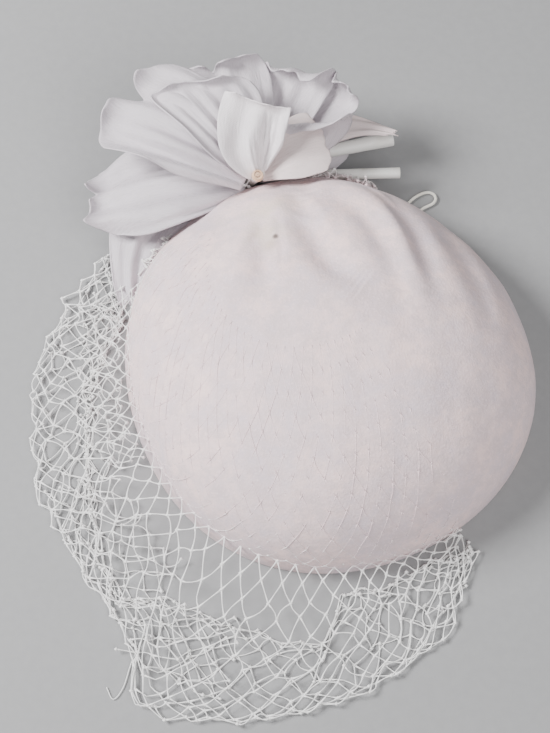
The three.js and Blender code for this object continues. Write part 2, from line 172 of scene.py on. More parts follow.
# Thickness of the thread along a mesh, from knot to knot, and how far it sways off its line.
THREAD_PROFILE = (2.2, 1.1, 0.85, 1.1, 2.2)
THREAD_SWAY = 0.9
KNOT_SIZES = (0.85, 1.2)
KNOT_CLEARANCE = 1.25
# Distances from the cap's middle in metres between which the net comes out of the velvet.
SUNK_WITHIN = (0.086, 0.093)


class Bunch(NamedTuple):
    """Bunched net round the cap, between two azimuths in degrees."""

    first: float
    last: float
    reach: float  # of its outer edge past the rim
    low: float  # height of that edge
    inner_reach: float  # its inner edge goes no farther in than the cap
    high: float  # height of that edge
    meshes_along: int
    meshes_over: int


BUNCHES = (
    Bunch(151, 128, 2, 3, -30, 20, 20, 6),
    Bunch(132, 114, 0, 8, -30, 28, 14, 6),
    Bunch(100, 76, 0, 12, -30, 26, 18, 4),
    Bunch(160, 206, 20, 1, 3, 7, 24, 3),
    Bunch(204, 233, 46, 1, 16, 3, 12, 4),
    Bunch(234, 252, 62, 1, 32, 2, 7, 4),
)
BUNCH_STRAY = 1.1
# A cut end of the net's thread at its lower left corner, in plan.
CUT_END = ((-79, -116), (-84, -128), (-87, -138), (-91, -143), (-94, -138))
CUT_END_POINTS = 17

# The loop of round elastic, in plan; it lies at this height.
ELASTIC_ROUTE = (
    (35.5, 80.5), (36.4, 82.1), (37.6, 83.8), (39.1, 85.4), (40.9, 86.9), (42.9, 88.2),
    (45.2, 89.2), (47.7, 89.4), (49.8, 88.2), (50.4, 85.9), (49.2, 83.9), (47.2, 82.7),
    (45.2, 81.7), (43.4, 80.4), (42.0, 78.8), (41.0, 76.9),
)
ELASTIC_HEIGHT = 1.0
ELASTIC_POINTS = 73


class Stem(NamedTuple):
    """A wrapped stem from the calyx to its cut end."""

    start: tuple
    end: tuple
    radius: float
    end_radius: float


STEMS = {
    "stem_upper": Stem((-30.5, 96.5, 15), (30, 109, 17), 2.4, 3.4),
    "stem_lower": Stem((-30.5, 90.6, 15), (33, 92.5, 15), 2.3, 2.5),
}
STEM_SIDES = 20
STEM_WALL = 0.7
STEM_HOLLOW = 9.0
STEM_SOFTENING = 0.25

CALYX_RADIUS = 3.2
CALYX_SIDES = 16
CALYX_SOFTENING = 0.6


class Winding(NamedTuple):
    """One turn of the binding thread round the calyx."""

    rise: float
    radius: float


WINDINGS = (
    Winding(0.6, 2.1),
    Winding(1.2, 2.2),
    Winding(1.8, 2.2),
    Winding(2.4, 2.1),
    Winding(3.0, 1.9),
    Winding(3.0, 1.2),
    Winding(3.0, 0.5),
)
WINDING_OFFSET = (-0.3, -1.8, 0.2)
WINDING_TILT = 0.05
BINDING_THREAD_RADIUS = 0.36

# The stage, in metres.
FLOOR_SIZE = 5
FLOOR_DROP = 0.0002
LIT_PLACE = (0, 0, 0.02)
KEY_PLACE = (-0.8, 0.15, 0.75)
KEY_SIZE = 0.45
FILL_PLACE = (0.5, -0.6, 1.0)
FILL_SIZE = 1.0
STUDIO_LIGHT = 0.24
LENS = 78
SENSOR_WIDTH = 36
# What the camera looks at, in millimetres, and the height it looks from, in degrees.
VIEWED_PLACE = (-24, 1, 8)
VIEW_HEIGHT = 70

# Colours of marks, wear and shade, beside those in the settings.
SOIL = (0.7, 0.6, 0.45)
SMUDGE = (0.45, 0.35, 0.26)
STITCH = (0.12, 0.09, 0.08)
LINING_STAIN = (0.72, 0.66, 0.56)
STEM_GRIME = (0.74, 0.71, 0.66)
ELASTIC_SHADE = (0.72, 0.68, 0.6)
CALYX_CLOTH = (0.74, 0.71, 0.68)
CALYX_SHADE = (0.62, 0.58, 0.52)
STUDIO_WHITE = (1, 1, 1, 1)


@dataclass
class Petal:
    """A petal's sizes in millimetres and degrees. Left and right are as seen from its foot."""

    tip: tuple  # middle of its outer edge
    seat: float  # height of its foot on the calyx
    width: float
    end_width: float
    claw: float = 9  # width of its foot
    shoulder: float = 0.8  # share of its length at which it is widest
    bow: float = 0  # how far its middle line swings to the right
    rise: float = 5  # how far that line arches up
    slant: float = 0  # turns its outer edge so that its right side reaches farther
    lean: float = 0  # tips its right side up
    cup: float = 0  # how far both sides stand above the middle
    corner: float = 0.2  # share of its length that its rounded corners take
    notch: float = 0  # depth of the notch between its two lobes, as a share of its length
    notch_at: float = 0  # place of the notch, from -1 at the left to 1 at the right
    curl: float = 0  # how far its outer edge rolls over
    curled: float = 0.12  # share of its length that rolls
    roll_left: float = 0  # how far its left side rolls up over it, and its right side
    roll_right: float = 0
    roll_from: float = 0.15  # share of its length at which its sides start to roll
    rolled_side: float = 0.38  # share of each half that rolls
    pleats: int = 3
    pleat: float = 0.4  # height of the pleats pressed along it
    wave: float = 0.5  # height of the waves along its edge
    clearance: float = 3.8  # from the calyx's middle line to its foot
    side: str = "satin"  # which cloth shows: satin, satin painted lighter as a highlight, or the dull side painted lighter


PETALS = {
    "petal_under_left": Petal((-94, 102, 2.5), 7, 50, 46, rise=1, corner=0.35, curl=30, wave=0.9),
    "petal_under_back": Petal((-50, 136, 5), 9, 52, 48, rise=2, corner=0.35, curl=30, wave=0.9),
    "petal_under_right": Petal((3, 125, 8.5), 11.5, 44, 40, rise=1, corner=0.35, curl=30, wave=0.9),
    "petal_tab": Petal(
        (-88, 30, 8), 14, 46, 14, shoulder=0.32, bow=20, rise=8, cup=-2, corner=0.08,
        pleats=3, pleat=1.1, wave=1.2,
    ),
    "petal_far_right": Petal(
        (15, 126, 37), 19.5, 22, 21, bow=-1, rise=5, cup=2, corner=0.3, curl=140, curled=0.24,
        roll_left=60, pleats=2,
    ),
    "petal_far": Petal(
        (-10, 137, 43), 21.5, 32, 32, shoulder=0.75, bow=1, rise=4, slant=14, lean=-4,
        corner=0.2, notch=0.07, notch_at=-0.4, curl=175, curled=0.26, pleats=4, wave=1.2,
    ),
    # Its matt dull side is painted lighter than the satin to make up for the shade it lies in.
    "petal_right": Petal(
        (31, 107, 25), 24, 22, 5, shoulder=0.3, bow=-12, rise=2, corner=0.2, roll_left=40,
        pleats=1, pleat=0.3, wave=0.4, side="dull_painted_lighter",
    ),
    "petal_lower_left": Petal(
        (-109, 73, 17), 27, 50, 34, claw=18, shoulder=0.55, bow=3, rise=10, slant=-6, lean=-10,
        cup=-2, corner=0.28, notch=0.1, notch_at=0.1, curl=110, curled=0.18, roll_right=140,
        pleats=3, pleat=1.9, wave=2.8,
    ),
    "petal_lip": Petal(
        (-11, 111, 51), 28, 44, 45, rise=-3, slant=26, lean=-22, corner=0.1, curl=190,
        curled=0.42, pleats=5, pleat=0.7, wave=1.8,
    ),
    "petal_crest": Petal(
        (-48, 135, 46), 30, 38, 38, rise=6, slant=-2, cup=-2, corner=0.24, notch=0.12,
        notch_at=-0.3, curl=140, curled=0.18, pleats=4, pleat=0.7, wave=1.4,
    ),
    # Its matt dull side is painted lighter than the satin to make up for the shade it lies in.
    "petal_grey": Petal(
        (-2, 95, 42), 34, 28, 27, shoulder=0.7, rise=6, slant=3, lean=-12, pleats=1, pleat=0.2,
        wave=0.1, clearance=2, side="dull_painted_lighter",
    ),
    "petal_big_left": Petal(
        (-95, 111, 46), 35, 50, 48, claw=20, shoulder=0.7, rise=12, slant=-14, lean=10, cup=-3,
        corner=0.28, notch=0.15, notch_at=0.2, curl=90, curled=0.16, roll_left=80, pleats=5,
        pleat=1.6, wave=2.2, clearance=3,
    ),
    "petal_upper": Petal(
        (-61, 118, 53), 37, 40, 40, claw=14, rise=9, slant=-26, lean=2, cup=-1, corner=0.14,
        curl=130, curled=0.14, roll_left=50, pleats=6, pleat=0.9, wave=1.0, clearance=2,
    ),
    # The front petal takes the satin painted lighter, a painted highlight.
    "petal_bright": Petal(
        (-31, 106, 59), 41, 29, 31, shoulder=0.5, bow=-3, rise=4, slant=2, lean=-7,
        corner=0.03, curl=100, curled=0.16, roll_left=-12, roll_right=15, pleats=2, pleat=1.3,
        wave=0.6, clearance=-1, side="bright",
    ),
}


# ---- Meshes ----


def to_frame(points):
    """Points from the cap's middle in millimetres, as points of the frame in metres."""
    return np.asarray(points, dtype=float) * MM + CAP_MIDDLE


def add_piece(name, points, faces, layout=None):
    """A mesh piece at the origin. layout gives each point's place on the flat cloth, in
    centimetres."""
    mesh = bpy.data.meshes.new(name)
    mesh.from_pydata(to_frame(points).tolist(), [], faces)
    mesh.validate()
    mesh.update()
    mesh.polygons.foreach_set("use_smooth", [True] * len(mesh.polygons))
    if layout is not None:
        cloth = mesh.uv_layers.new(name="cloth")
        corners = np.empty(len(mesh.loops), dtype=np.int32)
        mesh.loops.foreach_get("vertex_index", corners)
        cloth.data.foreach_set("uv", np.asarray(layout)[corners].ravel())
    piece = bpy.data.objects.new(name, mesh)
    bpy.context.scene.collection.objects.link(piece)
    return piece


def finish_piece(piece, material, node):
    """Gives a piece its material and lets it ride on the frame in a CAD node's place."""
    piece.data.materials.append(material)
    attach(piece, BODY)
    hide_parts(node)


def grid_normals(grid):
    """Unit normals of a grid of points, turned the way rows cross columns."""
    along = np.gradient(grid, axis=0)
    over = np.gradient(grid, axis=1)
    normals = np.cross(over, along)
    return normals / np.maximum(np.linalg.norm(normals, axis=2, keepdims=True), 1e-9)


def walled(grid, thickness):
    """Points and faces of a closed wall round a grid of middle points."""
    half = grid_normals(grid) * thickness / 2
    rows, columns, _ = grid.shape
    points = np.concatenate([(grid + half).reshape(-1, 3), (grid - half).reshape(-1, 3)])
    back = rows * columns
    faces = []
    for i in range(rows - 1):
        for j in range(columns - 1):
            a = i * columns + j
            b, c, d = a + 1, a + columns + 1, a + columns
            faces.append((a, b, c, d))
            faces.append((d + back, c + back, b + back, a + back))
    edge = [i * columns for i in range(rows)]
    edge += [(rows - 1) * columns + j for j in range(1, columns)]
    edge += [i * columns + columns - 1 for i in range(rows - 2, -1, -1)]
    edge += list(range(columns - 2, 0, -1))
    for a, b in zip(edge, edge[1:] + edge[:1]):
        faces.append((a, b, b + back, a + back))
    return points, faces


def eased(share):
    """A share that starts and ends gently between 0 and 1."""
    share = np.clip(share, 0, 1)
    return share * share * (3 - 2 * share)


def smooth_through(points, count):
    """count points evenly along the smooth curve through the first axis of points."""
    points = np.asarray(points, dtype=float)
    before = 2 * points[:1] - points[1:2]
    after = 2 * points[-1:] - points[-2:-1]
    padded = np.concatenate([before, points, after])
    place = np.linspace(0, len(points) - 1, count)
    span = np.minimum(place.astype(int), len(points) - 2)
    t = (place - span).reshape((-1,) + (1,) * (points.ndim - 1))
    a, b, c, d = (padded[span + step] for step in range(4))
    bent = (c - a) * t + (2 * a - 5 * b + 4 * c - d) * t**2 + (3 * b - a - 3 * c + d) * t**3
    return b + bent / 2


def threads(lines, radii, sides=6):
    """Points and faces of closed round threads. lines is threads x points x 3, and radii gives
    the radius at each point."""
    lines = np.asarray(lines, dtype=float)
    count, steps, _ = lines.shape
    radii = np.broadcast_to(radii, (count, steps))
    tangents = np.gradient(lines, axis=1)
    tangents /= np.maximum(np.linalg.norm(tangents, axis=2, keepdims=True), 1e-9)
    steep = np.abs(tangents[:, :, 2]).max(axis=1) > 0.75
    reference = np.where(steep[:, None], lines.mean(axis=1) * (1, 1, 0), (0.0, 0.0, 1.0))
    reference = np.broadcast_to(reference[:, None, :], lines.shape)
    across = np.cross(tangents, reference)
    across /= np.maximum(np.linalg.norm(across, axis=2, keepdims=True), 1e-9)
    over = np.cross(across, tangents)
    turn = np.arange(sides) / sides * 2 * math.pi
    ring = (
        across[:, :, None, :] * np.cos(turn)[None, None, :, None]
        + over[:, :, None, :] * np.sin(turn)[None, None, :, None]
    )
    points = lines[:, :, None, :] + ring * radii[:, :, None, None]
    index = np.arange(count * steps * sides).reshape(count, steps, sides)
    following = np.roll(index, -1, axis=2)
    walls = np.stack(
        [index[:, :-1], index[:, 1:], following[:, 1:], following[:, :-1]], axis=-1
    ).reshape(-1, 4)
    faces = walls.tolist() + index[:, 0].tolist() + index[:, -1, ::-1].tolist()
    return points.reshape(-1, 3), faces


def knots(places, sizes):
    """Points and faces of small eight-sided knots."""
    corners = np.array([(1, 0, 0), (0, 1, 0), (-1, 0, 0), (0, -1, 0), (0, 0, 1), (0, 0, -1)])
    sides = [(0, 1, 4), (1, 2, 4), (2, 3, 4), (3, 0, 4), (1, 0, 5), (2, 1, 5), (3, 2, 5), (0, 3, 5)]
    points = places[:, None, :] + corners[None] * np.asarray(sizes)[:, None, None]
    faces = (np.array(sides)[None] + 6 * np.arange(len(places))[:, None, None]).reshape(-1, 3)
    return points.reshape(-1, 3), faces.tolist()


def together(*parts):
    """Several lists of points and faces as one."""
    points, faces, start = [], [], 0
    for some_points, some_faces in parts:
        points.append(some_points)
        faces += [[start + i for i in face] for face in some_faces]
        start += len(some_points)
    return np.concatenate(points), faces


# ---- Shape of the cap ----


def rim_radius(azimuth):
    """Radius of the cap's rim in plan."""
    rounding = 1 - FRONT_ROUNDING * np.clip(-np.sin(azimuth), 0, 1)
    return RIM_RADIUS + RIM_STRETCH * rounding * np.cos(2 * (azimuth - RIM_DIAGONAL))


def fold_rise(x, y, folds):
    """How far the velvet stands up or sinks at plan points, all folds together."""
    total = np.zeros_like(x)
    steps = np.linspace(0, 1, FOLD_SAMPLES + 1)
    for start, past, end, width, rise in folds:
        keep = 1 - steps
        line = [
            keep**2 * start[k] + 2 * keep * steps * past[k] + steps**2 * end[k] for k in (0, 1)
        ]
        distance = np.hypot(x[..., None] - line[0], y[..., None] - line[1])
        share = distance.argmin(axis=-1) / FOLD_SAMPLES
        fade = np.sin(math.pi * (0.12 + 0.8 * share))
        total += rise * fade * np.exp(-((distance.min(axis=-1) / width) ** 2))
    return total


def unevenness(x, y):
    """Slight hand-made unevenness of the stretched velvet."""
    broad = np.sin(x / 9.1 + 1.3) * np.sin(y / 11.7 + 0.4)
    fine = np.sin(x / 4.3 + y / 6.1) * np.sin(y / 5.2 - x / 7.7 + 2.0)
    return BROAD_UNEVENNESS * broad + FINE_UNEVENNESS * fine


def cap_point(azimuth, lift, inset=0.0, lowest=DEEPEST_FOLD, fine=True):
    """Points of the cap's surface at an azimuth and at a lift from the rim (0) to the top (1)."""
    angle = np.clip(lift, 0, 1) * math.pi / 2
    radius = rim_radius(azimuth) - inset
    height = CAP_HEIGHT - TURNED_EDGE - inset
    reach = np.cos(angle) ** (2 / CAP_FULLNESS) * radius
    rise = np.sin(angle) ** (2 / CAP_FULLNESS) * height
    x, y = reach * np.cos(azimuth), reach * np.sin(azimuth)
    outwards = np.stack([x / radius**2, y / radius**2, rise / height**2], axis=-1)
    outwards /= np.linalg.norm(outwards, axis=-1, keepdims=True)
    folded = np.maximum(fold_rise(x, y, FOLDS), lowest)
    if fine:
        folded = folded + (fold_rise(x, y, CREASES) + unevenness(x, y)) * np.clip(4 * lift, 0, 1)
    return np.stack([x, y, rise + TURNED_EDGE], axis=-1) + outwards * folded[..., None]


def lift_at_height(height):
    """The lift at which the cap's surface has a height."""
    share = (height - TURNED_EDGE) / (CAP_HEIGHT - TURNED_EDGE)
    return np.arcsin(share ** (CAP_FULLNESS / 2)) / (math.pi / 2)


def over_cap(x, y, clearance):
    """Points just over the cap's surface at plan points."""
    azimuth = np.arctan2(y, x)
    share = np.minimum(np.hypot(x, y) / rim_radius(azimuth), 1)
    lift = np.arccos(share ** (CAP_FULLNESS / 2)) / (math.pi / 2)
    point = cap_point(azimuth, lift, lowest=DEEPEST_FOLD_UNDER_NET)
    outwards = point / (RIM_RADIUS**2, RIM_RADIUS**2, CAP_HEIGHT**2)
    outwards /= np.linalg.norm(outwards, axis=-1, keepdims=True)
    return point + outwards * clearance


def closed_shell(rings, pole, inner_rings, inner_pole):
    """A closed shell of an outer and an inner stack of rings that meet at their first rings."""
    around = rings.shape[1]
    points = np.concatenate([rings.reshape(-1, 3), [pole], inner_rings.reshape(-1, 3), [inner_pole]])
    inner = rings.shape[0] * around + 1
    faces = []
    for i in range(around):
        j = (i + 1) % around
        for ring in range(rings.shape[0] - 1):
            low, high = ring * around, (ring + 1) * around
            faces.append((low + i, low + j, high + j, high + i))
        top = (rings.shape[0] - 1) * around
        faces.append((top + i, top + j, inner - 1))
        for ring in range(inner_rings.shape[0] - 1):
            low, high = inner + ring * around, inner + (ring + 1) * around
            faces.append((low + j, low + i, high + i, high + j))
        top = inner + (inner_rings.shape[0] - 1) * around
        faces.append((top + j, top + i, len(points) - 1))
        faces.append((j, i, inner + i, inner + j))
    return points, faces


# ---- Materials ----


class Shade:
    """A socket of a material's nodes, on which sums and products add Math nodes."""

    def __init__(self, finish, socket):
        self.finish, self.socket = finish, socket

    def _math(self, operation, first, second):
        return self.finish.node("ShaderNodeMath", {"operation": operation}, {0: first, 1: second})

    def __add__(self, other):
        return self._math("ADD", self, other)

    def __radd__(self, other):
        return self._math("ADD", other, self)

    def __mul__(self, other):
        return self._math("MULTIPLY", self, other)

    def __rmul__(self, other):
        return self._math("MULTIPLY", other, self)


def tinted(colour, *tint):
    """A colour with its channels multiplied by one tint, or each by its own."""
    return tuple(np.multiply(colour, tint).tolist())


class Finish:
    """A material with one Principled shader, whose other nodes come from node()."""

    def __init__(self, name, colour, roughness, **constants):
        self.material = bpy.data.materials.new(name)
        self.material.use_nodes = True
        self.material.diffuse_color = (*colour, 1)
        self.tree = self.material.node_tree
        self.shader = self.tree.nodes["Principled BSDF"]
        self.shader.inputs["Base Color"].default_value = (*colour, 1)
        self.shader.inputs["Roughness"].default_value = roughness
        for socket, value in constants.items():
            self.shader.inputs[socket.replace("_", " ")].default_value = value

    def node(self, kind, settings, inputs, output=0):
        """One output of a new node, with its settings set and its inputs set or linked."""
        node = self.tree.nodes.new(kind)
        for setting, value in settings.items():
            setattr(node, setting, value)
        for key, value in inputs.items():
            self.join(node.inputs[key], value)
        return Shade(self, node.outputs[output])

    def join(self, socket, value):
        if isinstance(value, Shade):
            self.tree.links.new(value.socket, socket)
        else:
            socket.default_value = value

    def set(self, socket, value):
        self.join(self.shader.inputs[socket], value)

    def place(self):
        return self.node("ShaderNodeTexCoord", {}, {}, "Object")

    def cloth(self):
        """Place on the flat cloth, in centimetres."""
        return self.node("ShaderNodeUVMap", {"uv_map": "cloth"}, {})

    def noise(self, where, scale, detail=3.0, roughness=0.55):
        return self.node(
            "ShaderNodeTexNoise", {},
            {"Vector": where, "Scale": scale, "Detail": detail, "Roughness": roughness}, "Fac",
        )

    def bands(self, where, direction, scale, distortion, detail=2.0, profile="SIN"):
        return self.node(
            "ShaderNodeTexWave", {"bands_direction": direction, "wave_profile": profile},
            {"Vector": where, "Scale": scale, "Distortion": distortion, "Detail": detail}, "Fac",
        )

    def between(self, value, low, high, first=0.0, second=1.0):
        """Goes gently from first to second while the value goes from low to high."""
        return self.node(
            "ShaderNodeMapRange", {"interpolation_type": "SMOOTHSTEP"},
            {"Value": value, "From Min": low, "From Max": high, "To Min": first, "To Max": second},
        )

    def blend(self, amount, first, second):
        """Two colours mixed, of which the second has this amount."""
        colours = [(*part, 1) if isinstance(part, tuple) else part for part in (first, second)]
        sockets = {0: amount, 6: colours[0], 7: colours[1]}
        return self.node("ShaderNodeMix", {"data_type": "RGBA"}, sockets, 2)

    def near(self, where, point, inner, outer, amount=1.0):
        """This amount within the inner distance in metres of a point that is given from the
        cap's middle in millimetres, and nothing past the outer one."""
        distance = self.node(
            "ShaderNodeVectorMath", {"operation": "DISTANCE"},
            {0: where, 1: tuple(to_frame(point))}, "Value",
        )
        return self.between(distance, inner, outer, amount, 0.0)

    def bump(self, height, strength, distance):
        relief = {"Height": height, "Strength": strength, "Distance": distance}
        self.set("Normal", self.node("ShaderNodeBump", {}, relief))


def velvet_finish(colour):
    """Velvet, mottled by its nap and pile, soiled and stitched by the gather, where a painted
    highlight also lightens it.
    """
    velvet = Finish("velvet", colour, 0.92, Sheen_Weight=0.12, Sheen_Roughness=0.5)
    place = velvet.place()
    shade = velvet.noise(place, scale=45, detail=5, roughness=0.7)
    nap = velvet.noise(place, scale=190, detail=4, roughness=0.65)
    pile = velvet.noise(place, scale=1000, detail=2, roughness=0.6)
    soil = velvet.noise(place, scale=60, detail=3, roughness=0.6)
    warm, cool = tinted(colour, 1.08, 1.01, 0.96), tinted(colour, 0.83, 0.86, 0.91)
    base = velvet.blend(velvet.between(shade, 0.36, 0.64), cool, warm)
    base = velvet.blend(velvet.between(nap, 0.4, 0.65, 0.0, 0.8), base, tinted(colour, 0.83))
    base = velvet.blend(velvet.between(pile, 0.5, 0.8, 0.0, 0.6), base, tinted(colour, 1.15))
    soil_and_highlight = velvet.near(place, SOIL_AND_HIGHLIGHT_PLACE, 0.004, 0.03)
    # Painted highlight: the velvet is painted lighter round the gather, in the same place as the
    # real soil below.
    base = velvet.blend(soil_and_highlight * 0.4, base, tinted(colour, 1.12))
    base = velvet.blend(soil_and_highlight * velvet.between(soil, 0.38, 0.7) * 0.6, base, SOIL)
    base = velvet.blend(velvet.near(place, SMUDGE_PLACE, 0.0008, 0.005, 0.4), base, SMUDGE)
    base = velvet.blend(velvet.near(place, STITCH_PLACE, 0.0009, 0.0022, 0.9), base, STITCH)
    velvet.set("Base Color", base)
    velvet.set("Roughness", velvet.between(nap, 0.2, 0.8, 0.84, 0.98))
    velvet.bump(pile * 0.4 + nap * 0.6, strength=0.6, distance=0.0008)
    return velvet.material


def lining_finish(colour):
    """Plain woven lining with old stains."""
    lining = Finish("lining", colour, 0.85, Sheen_Weight=0.1)
    place = lining.place()
    across = lining.bands(place, "X", scale=420, distortion=1.0)
    along = lining.bands(place, "Y", scale=420, distortion=1.0)
    stain = lining.between(lining.noise(place, scale=18, detail=4), 0.4, 0.75)
    lining.set("Base Color", lining.blend(stain, colour, LINING_STAIN))
    lining.bump(across + along, strength=0.5, distance=0.0003)
    return lining.material


def net_finish(colour, sunk):
    """The net's thread, which takes the velvet's colour where it lies sunk into it."""
    net = Finish("net", colour, 0.55, Sheen_Weight=0.1)
    place = net.place()
    twist = net.noise(place, scale=1400, detail=2)
    shade = net.between(net.noise(place, scale=40, detail=2), 0.3, 0.7)
    white = net.blend(shade, colour, tinted(colour, 0.92))
    net.set("Base Color", net.blend(net.near(place, (0, 0, 0), *SUNK_WITHIN), white, sunk))
    net.set("Roughness", net.between(twist, 0.3, 0.7, 0.45, 0.68))
    net.bump(twist, strength=0.4, distance=0.0002)
    return net.material


def satin_finish(name, colour, roughness):
    """Satin with streaks pressed along the petal and a fine slanting weave."""
    satin = Finish(name, colour, roughness, Sheen_Weight=0.1, Sheen_Roughness=0.3)
    satin.shader.inputs["Subsurface Weight"].default_value = 0.06
    satin.shader.inputs["Subsurface Radius"].default_value = (0.003, 0.0028, 0.0028)
    cloth, place = satin.cloth(), satin.place()
    lengthwise = satin.node("ShaderNodeMapping", {}, {"Vector": cloth, "Scale": (9.0, 1.2, 1.0)})
    streaks = satin.noise(lengthwise, scale=1.6, detail=4, roughness=0.6)
    weave = satin.bands(cloth, "DIAGONAL", scale=9.0, distortion=2.0)
    cloud = satin.between(satin.noise(place, scale=55), 0.35, 0.7)
    satin.set("Base Color", satin.blend(cloud, colour, tinted(colour, 0.93)))
    glossy, matt = roughness - 0.08, roughness + 0.12
    satin.set("Roughness", satin.between(streaks, 0.3, 0.7, glossy, matt))
    satin.bump(streaks * 0.8 + weave * 0.2, strength=0.7, distance=0.0008)
    return satin.material


def stem_finish(colour):
    """Paper wrap wound round a stem, a little grimy."""
    wrap = Finish("stem_wrap", colour, 0.42)
    place = wrap.place()
    winding = wrap.bands(place, "X", scale=60, distortion=1.5, detail=1.0, profile="SAW")
    grime = wrap.noise(place, scale=120, detail=4)
    wrap.set("Base Color", wrap.blend(wrap.between(grime, 0.45, 0.8), colour, STEM_GRIME))
    wrap.set("Roughness", wrap.between(grime, 0.3, 0.7, 0.34, 0.55))
    wrap.bump(winding, strength=0.25, distance=0.0003)
    return wrap.material


def thread_finish(name, colour, shade):
    """Spun thread or covered elastic, with patches of a second shade."""
    thread = Finish(name, colour, 0.7, Sheen_Weight=0.15)
    place = thread.place()
    fibre = thread.noise(place, scale=1200, detail=2)
    patch = thread.between(thread.noise(place, scale=150, detail=2), 0.35, 0.7)
    thread.set("Base Color", thread.blend(patch, colour, shade))
    thread.set("Roughness", thread.between(fibre, 0.3, 0.7, 0.6, 0.85))
    thread.bump(fibre, strength=0.5, distance=0.0002)
    return thread.material


def floor_finish(colour):
    floor = Finish("floor", colour, 0.9)
    grain = floor.noise(floor.place(), scale=240)
    shade = floor.between(grain, 0.3, 0.7)
    floor.set("Base Color", floor.blend(shade, colour, tinted(colour, 0.96)))
    floor.bump(grain, strength=0.15, distance=0.0004)
    return floor.material


# ---- Settings ----


def colour_property(name, description, default):
    return bpy.props.FloatVectorProperty(
        name=name, description=description, default=default, subtype="COLOR", min=0, max=1
    )


def size_property(name, description, default, low, high):
    """A length in metres, shown in the scene's units."""
    return bpy.props.FloatProperty(
        name=name, description=description, default=default, min=low, max=high,
        unit="LENGTH", precision=5,
    )


class CapSettings(bpy.types.PropertyGroup):
    velvet: colour_property("Velvet", "Colour of the velvet cover", (0.83, 0.665, 0.685))
    lining: colour_property("Lining", "Colour of the lining", (0.8, 0.76, 0.69))
    cover: size_property("Cover", "Thickness of the velvet cover", VELVET_WALL * MM, 0.0005, 0.002)


class NetSettings(bpy.types.PropertyGroup):
    colour: colour_property("Net", "Colour of the net", (0.9, 0.89, 0.88))
    thread: size_property("Thread", "Thickness of the net's thread", 0.00045, 0.0003, 0.001)
    knot: size_property("Knot", "Width of a knot", 0.0019, 0.0008, 0.003)


class FlowerSettings(bpy.types.PropertyGroup):
    satin: colour_property("Satin", "Colour of the petals", (0.66, 0.605, 0.65))
    # Painted highlight: the front petal's satin is a lighter copy of the satin, painted lighter
    # where that petal faces the light.
    bright: colour_property("Bright Satin", "Colour of the front petal", (0.9, 0.84, 0.87))
    # The dull side is the satin's matt back. Its colour is also painted lighter than the satin to
    # make up for the shade it lies in.
    dull_painted_lighter: colour_property("Dull Side", "Colour of the petals' dull side", (0.82, 0.70, 0.695))
    cloth: size_property("Cloth", "Thickness of a petal's cloth", 0.0005, 0.0003, 0.001)


class TrimSettings(bpy.types.PropertyGroup):
    elastic: size_property("Elastic", "Thickness of the elastic", 0.0014, 0.0008, 0.003)
    elastic_colour: colour_property("Elastic Colour", "Colour of the elastic", (0.84, 0.81, 0.74))
    thread_colour: colour_property("Thread Colour", "Colour of the binding", (0.7, 0.47, 0.32))
    stem_colour: colour_property("Stem Colour", "Colour of the wrapped stems", (0.87, 0.86, 0.83))


class StageSettings(bpy.types.PropertyGroup):
    floor: colour_property("Floor", "Colour of the floor", (0.3, 0.3, 0.305))
    key_power: bpy.props.FloatProperty(
        name="Key Light", description="Power of the main light", default=27, min=0, unit="POWER"
    )
    fill_power: bpy.props.FloatProperty(
        name="Fill Light", description="Power of the second light", default=13, min=0, unit="POWER"
    )
    camera_distance: size_property("Camera Distance", "How far the camera is", 0.7, 0.3, 2.0)


class FascinatorSettings(bpy.types.PropertyGroup):
    cap: bpy.props.PointerProperty(type=CapSettings)
    net: bpy.props.PointerProperty(type=NetSettings)
    flower: bpy.props.PointerProperty(type=FlowerSettings)
    trim: bpy.props.PointerProperty(type=TrimSettings)
    stage: bpy.props.PointerProperty(type=StageSettings)


def settings():
    return bpy.context.scene.fascinator


# ---- Operators ----


def deselect():
    bpy.ops.object.select_all(action="DESELECT")


def apply_place():
    bpy.ops.object.transform_apply(location=True, rotation=True, scale=True)


def aim(thing, target):
    way = Vector(target) - thing.location
    thing.rotation_euler = way.to_track_quat("-Z", "Y").to_euler()


def add_light(name, place, size, power):
    light = bpy.data.lights.new(name, "AREA")
    light.shape = "DISK"
    light.size, light.energy = size, power
    lamp = bpy.data.objects.new(name, light)
    bpy.context.scene.collection.objects.link(lamp)
    lamp.location = place
    aim(lamp, LIT_PLACE)


class FASCINATOR_OT_stage(bpy.types.Operator):
    """Add the floor, the lights and the camera"""

    bl_idname = "fascinator.stage"
    bl_label = "Stage"

    def execute(self, context):
        choice = settings().stage
        deselect()
        bpy.ops.mesh.primitive_plane_add(size=FLOOR_SIZE, location=(0, 0, -FLOOR_DROP))
        floor = context.object
        floor.name = "floor"
        apply_place()
        floor.data.materials.append(floor_finish(tuple(choice.floor)))
        add_light("key", KEY_PLACE, KEY_SIZE, choice.key_power)
        add_light("fill", FILL_PLACE, FILL_SIZE, choice.fill_power)
        world = bpy.data.worlds.new("studio")
        world.use_nodes = True
        background = world.node_tree.nodes["Background"].inputs
        background["Color"].default_value = STUDIO_WHITE
        background["Strength"].default_value = STUDIO_LIGHT
        context.scene.world = world
        lens = bpy.data.cameras.new("camera")
        lens.lens, lens.sensor_width = LENS, SENSOR_WIDTH
        camera = bpy.data.objects.new("camera", lens)
        context.scene.collection.objects.link(camera)
        target = to_frame(VIEWED_PLACE)
        height = math.radians(VIEW_HEIGHT)
        away = np.array([0, -math.cos(height), math.sin(height)])
        camera.location = target + away * choice.camera_distance
        aim(camera, target)
        context.scene.camera = camera
        return {"FINISHED"}


